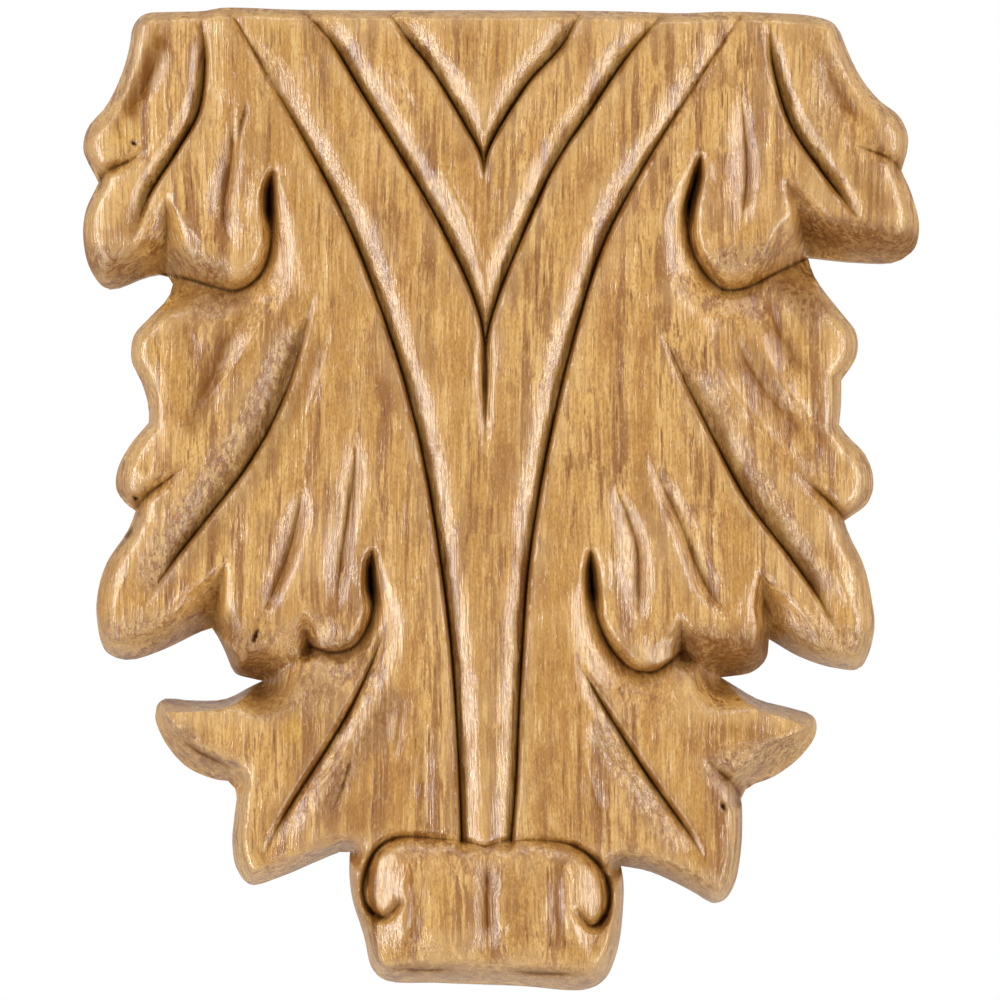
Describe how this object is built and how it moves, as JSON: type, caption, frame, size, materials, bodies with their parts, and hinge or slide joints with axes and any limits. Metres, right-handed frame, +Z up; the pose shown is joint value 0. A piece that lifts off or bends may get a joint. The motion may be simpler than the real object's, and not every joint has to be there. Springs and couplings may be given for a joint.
{
  "type": "carved acanthus leaf applique",
  "caption": "Carved wood applique of an acanthus leaf with veins, curled lobes and a small scroll, glued flat onto furniture or woodwork as an ornament.",
  "frame": {"origin": "the middle of the flat back face, where it meets the surface it is fixed to", "axes": "+Y out of the flat back, into the surface it is fixed to, so the carved face looks along -Y; +Z up, from the scroll to the straight top; +X to the right as the face is seen"},
  "size_m": [0.1296, 0.02, 0.1524],
  "materials": {
    "wood": "honey brown hardwood with a satin clear lacquer and dark stain left in the cuts"
  },
  "bodies": {
    "root": {"carved_leaf": "wood"}
  },
  "joints": []
}
